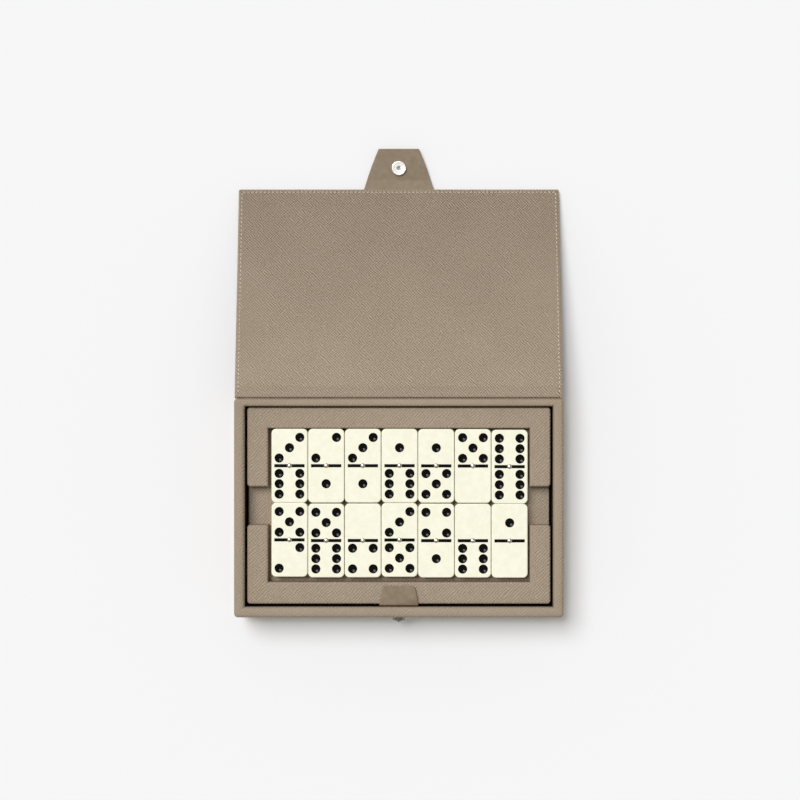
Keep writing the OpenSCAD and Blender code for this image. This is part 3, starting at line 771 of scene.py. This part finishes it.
def smooth_leather(name, place):
    """Smooth leather with fine pores and faint creases."""
    leather = new_finish(name, roughness=0.5, specular=0.35)
    spot = place(leather)
    pores = mottle(leather, spot, PORE_SIZE, 4)
    creases = mottle(leather, spot, 0.004, 3)
    cloud = mottle(leather, spot, 0.02)
    wobble = reckon(leather, "MULTIPLY", creases, 6.0)
    faint = ridges(leather, spot, LEFT_LEANING, 0.0014, wobble)
    skin = reckon(leather, "MULTIPLY_ADD", faint, 0.12, reckon(leather, "ADD", pores, creases))
    share = reckon(leather, "MULTIPLY_ADD", skin, 0.4, reckon(leather, "MULTIPLY", cloud, 0.2))
    tones = [(0.3, SMOOTH_DARK), (0.5, SMOOTH_COLOUR), (0.7, SMOOTH_LIGHT)]
    into_shader(leather, Base_Color=shades(leather, share, tones),
                Normal=relief(leather, skin, SMOOTH_RELIEF))
    return leather


flap_inside = build_strap("flap_inner_leather", flap_stations(), on_flap, low=0, high=LEATHER_THICKNESS,
                          rounds=(False, True))
flap_inside.data.materials.append(smooth_leather("smooth_leather", from_hide))
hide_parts("flap_lining", "flap_root")
flap_outside = build_strap("flap_outer_leather", flap_stations(), on_flap, low=-LEATHER_THICKNESS, high=0,
                           rounds=(True, False))
flap_skin = cross_grain("flap_outer_skin", LEFT_LEANING, GRAIN_PITCH, from_hide, LID_CONTRAST)
flap_outside.data.materials.append(flap_skin)
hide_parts("flap_leather")
for flap_piece in (flap_inside, flap_outside):
    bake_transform(flap_piece)


# Tray: a leather-covered board with two wrapped frame halves on it, parted by the finger notches.
# Its grain leans the other way to the lid's.
tray_skin = cross_grain("tray_leather", RIGHT_LEANING, FRAME_PITCH)
dress(tray_skin, "grained_leather", "tray_floor", "tray_rear_leather", "tray_front_leather")


# Pull tab: smooth leather folded double, glued to the tray's front and laid over the frame. It lifts
# the tray out of the box.
TAB_ROOT_HALF = 13.3
TAB_TIP_HALF = 10.7
TAB_CORNER = 1.2
TAB_FOLD_ROUND = 0.9
TAB_HALF_THICKNESS = 0.6
TAB_WARP = 1.6

tab_fold = np.array(joint("tab_fold")["pos_m"]) / MM
tab_length = corners("pull_tab")[1][1] - tab_fold[1]
tab_foot = corners("tab_anchor")[0][2] - tab_fold[2]
fold_arc = TAB_FOLD_ROUND * math.pi / 2


def on_tab(x, along_tab, up):
    """A place on the tab: along_tab runs from the fold's start, negative down the tray's front. The
    tab's right edge stands a little off the frame."""
    up += TAB_WARP * max(x / TAB_ROOT_HALF, 0) ** 2 * min(max(along_tab - fold_arc, 0) / 3, 1)
    if along_tab < 0:
        spot, way = np.array([0, 0, along_tab - TAB_FOLD_ROUND]), np.array([0, -1.0, 0])
    elif along_tab < fold_arc:
        turn = along_tab / TAB_FOLD_ROUND
        way = np.array([0, -math.cos(turn), math.sin(turn)])
        spot = np.array([0, TAB_FOLD_ROUND, -TAB_FOLD_ROUND]) + TAB_FOLD_ROUND * way
    else:
        spot, way = np.array([0, TAB_FOLD_ROUND + along_tab - fold_arc, 0]), np.array([0, 0, 1.0])
    return tab_fold + spot + x * ACROSS + up * way


def tab_stations():
    """Rows of the tab, from its foot on the tray's front over its fold to its tip."""
    end = fold_arc + tab_length - TAB_FOLD_ROUND
    places = [*np.linspace(tab_foot + TAB_FOLD_ROUND, -1, 8), *np.linspace(-0.5, fold_arc + 2.5, 16)]
    places += [*np.linspace(fold_arc + 3.5, end - 2, 6), *(end - np.array(END_ROWS))]
    for place in places:
        share = max(place - fold_arc, 0) / (end - fold_arc)
        half = TAB_ROOT_HALF + (TAB_TIP_HALF - TAB_ROOT_HALF) * share - rounded(end - place, TAB_CORNER)
        yield place, half, end - place


tab = build_strap("pull_tab_leather", list(tab_stations()), on_tab, low=-TAB_HALF_THICKNESS,
                  high=TAB_HALF_THICKNESS, rounds=(True, True))
tab.data.materials.append(smooth_leather("tab_leather", from_hide))
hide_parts("pull_tab", "tab_anchor")
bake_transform(tab)


# Dominoes: cast resin in ivory with rounded edges. The pips are drilled dimples filled with gloss
# black paint, the groove is painted too, and a nickel spinner pin with a domed head goes through it.
IVORY_COLOUR = (251, 248, 228)
IVORY_SHADE = (246, 243, 221)
PAINT_COLOUR = (5, 4, 4)
PAINT_LIGHT = (8, 7, 6)
GROOVE_LIGHT = (14, 12, 11)
PIN_SHADE = (214, 200, 178)
PIN_COLOUR = (240, 232, 215)
SPINNER_RISE = 0.5
SPINNER_RADIUS = 1.6
GROOVE_HALF_LENGTH = 10.35
GROOVE_HALF_WIDTH = 1.1
DRILLED_HALF_WIDTH = 10.4
DRILLED_HALF_LENGTH = 22.6
RECESS_DEPTH = 1.0
GROOVE_SLACK = 0.05
PIN_SLACK = 0.02


def speckled(name, colours, size, roughness, specular, depth):
    """A hard, even finish with the slightest variation."""
    hard = new_finish(name, roughness, specular)
    cloud = mottle(hard, where(hard), size, 3)
    into_shader(hard, Base_Color=shades(hard, cloud, [(0.35, colours[0]), (0.65, colours[1])]),
                Normal=relief(hard, cloud, depth))
    return hard


ivory = speckled("ivory_resin", (IVORY_SHADE, IVORY_COLOUR), 0.004, 0.22, 0.35, 0.00002)
pip_paint = speckled("pip_paint", (PAINT_COLOUR, PAINT_LIGHT), 0.002, 0.06, 0.16, 0.00001)
groove_paint = speckled("groove_paint", (PAINT_COLOUR, GROOVE_LIGHT), 0.0006, 0.4, 0.06, 0.00004)
pin_nickel = new_finish("spinner_nickel", roughness=0.2, metallic=1.0)
pin_wear = mottle(pin_nickel, where(pin_nickel), 0.0008)
into_shader(pin_nickel, Base_Color=shades(pin_nickel, pin_wear, [(0.3, PIN_SHADE), (0.6, PIN_COLOUR)]))


def paint_domino(name):
    """Gives each face of a domino its finish by where the face lies."""
    piece = frame["nodes"][name]
    low, high = corners(name)
    middle = (low + high) / 2
    top = high[2] - SPINNER_RISE
    mesh = piece.data
    centres = np.zeros(3 * len(mesh.polygons))
    mesh.polygons.foreach_get("center", centres)
    x, y, z = (centres.reshape(-1, 3) / MM - [middle[0], middle[1], top]).T
    from_pin = np.hypot(x, y)
    recessed = (z < -0.01) & (z > -RECESS_DEPTH)
    groove = recessed & (np.abs(x) < GROOVE_HALF_LENGTH + GROOVE_SLACK)
    groove &= np.abs(y) < GROOVE_HALF_WIDTH + GROOVE_SLACK
    drilled = recessed & (np.abs(x) < DRILLED_HALF_WIDTH) & (np.abs(y) < DRILLED_HALF_LENGTH)
    pin = (from_pin < SPINNER_RADIUS + PIN_SLACK) & (z > -RECESS_DEPTH)
    finish = np.where(pin, 3, np.where(groove, 2, np.where(drilled, 1, 0)))
    mesh.materials.clear()
    for material in (ivory, pip_paint, groove_paint, pin_nickel):
        mesh.materials.append(material)
    mesh.polygons.foreach_set("material_index", finish.astype(np.int32))


for domino in sorted(n for n in frame["nodes"] if n.startswith("tile_")):
    paint_domino(domino)


# The table and the studio: a white sheet to stand the box on, a broad lamp with a bright middle hung
# to the rear left, and a grey room that is a little darker overhead than at its walls.
FLOOR_COLOUR = (243, 243, 244)
FLOOR_HALF = 20
LAMP_WAY = (-0.656, 0.754)
LAMP_TINT = (1.0, 1.0, 1.03)
# Colours of the room from level with the table to straight above
ROOM_SHADES = [(0.0, (190, 190, 185)), (0.3, (200, 200, 195)), (0.55, (150, 150, 145)),
               (0.9, (165, 165, 160))]
EYE = (0.0008, 0.07347, 1.093)
FOCAL_LENGTH = 70.1
SENSOR_WIDTH = 36


def sun(name, tilt, spread, level):
    """A distant lamp that lights a white level sheet to a level, tilted from straight above."""
    lamp = bpy.data.lights.new(name, "SUN")
    lamp.color = LAMP_TINT
    lamp.angle = math.radians(spread)
    lamp.energy = level * math.pi / math.cos(math.radians(tilt))
    holder = bpy.data.objects.new(name, lamp)
    side = math.sin(math.radians(tilt)) / math.hypot(*LAMP_WAY)
    toward = Vector((LAMP_WAY[0] * side, LAMP_WAY[1] * side, math.cos(math.radians(tilt))))
    holder.rotation_mode = "QUATERNION"
    holder.rotation_quaternion = toward.to_track_quat("Z", "Y")
    bpy.context.scene.collection.objects.link(holder)


sun("lamp_middle", tilt=17, spread=9, level=0.12)
sun("broad_lamp", tilt=30, spread=32, level=0.53)

room = bpy.data.worlds.new("room")
room.use_nodes = True
bpy.context.scene.world = room
above = step(room, "SeparateXYZ", {0: step(room, "TexCoord", {})}, output=2)
walls = shades(room, above, ROOM_SHADES)
room.node_tree.links.new(walls, room.node_tree.nodes["Background"].inputs["Color"])

sheet = new_finish("white_sheet", roughness=1.0, specular=0.0)
sheet_shade = mottle(sheet, where(sheet), 0.4)
into_shader(sheet, Base_Color=shades(sheet, sheet_shade, [(0.0, FLOOR_COLOUR), (1.0, FLOOR_COLOUR)]))
edge = FLOOR_HALF / MM
table = new_piece("table", [(-edge, -edge, 0), (edge, -edge, 0), (edge, edge, 0), (-edge, edge, 0)],
                  [(0, 1, 2, 3)])
table.data.materials.append(sheet)

eye = bpy.data.cameras.new("camera")
eye.lens = FOCAL_LENGTH
eye.sensor_width = SENSOR_WIDTH
camera = bpy.data.objects.new("camera", eye)
camera.location = EYE
bpy.context.scene.collection.objects.link(camera)
bpy.context.scene.camera = camera
bpy.context.scene.view_settings.view_transform = "Standard"
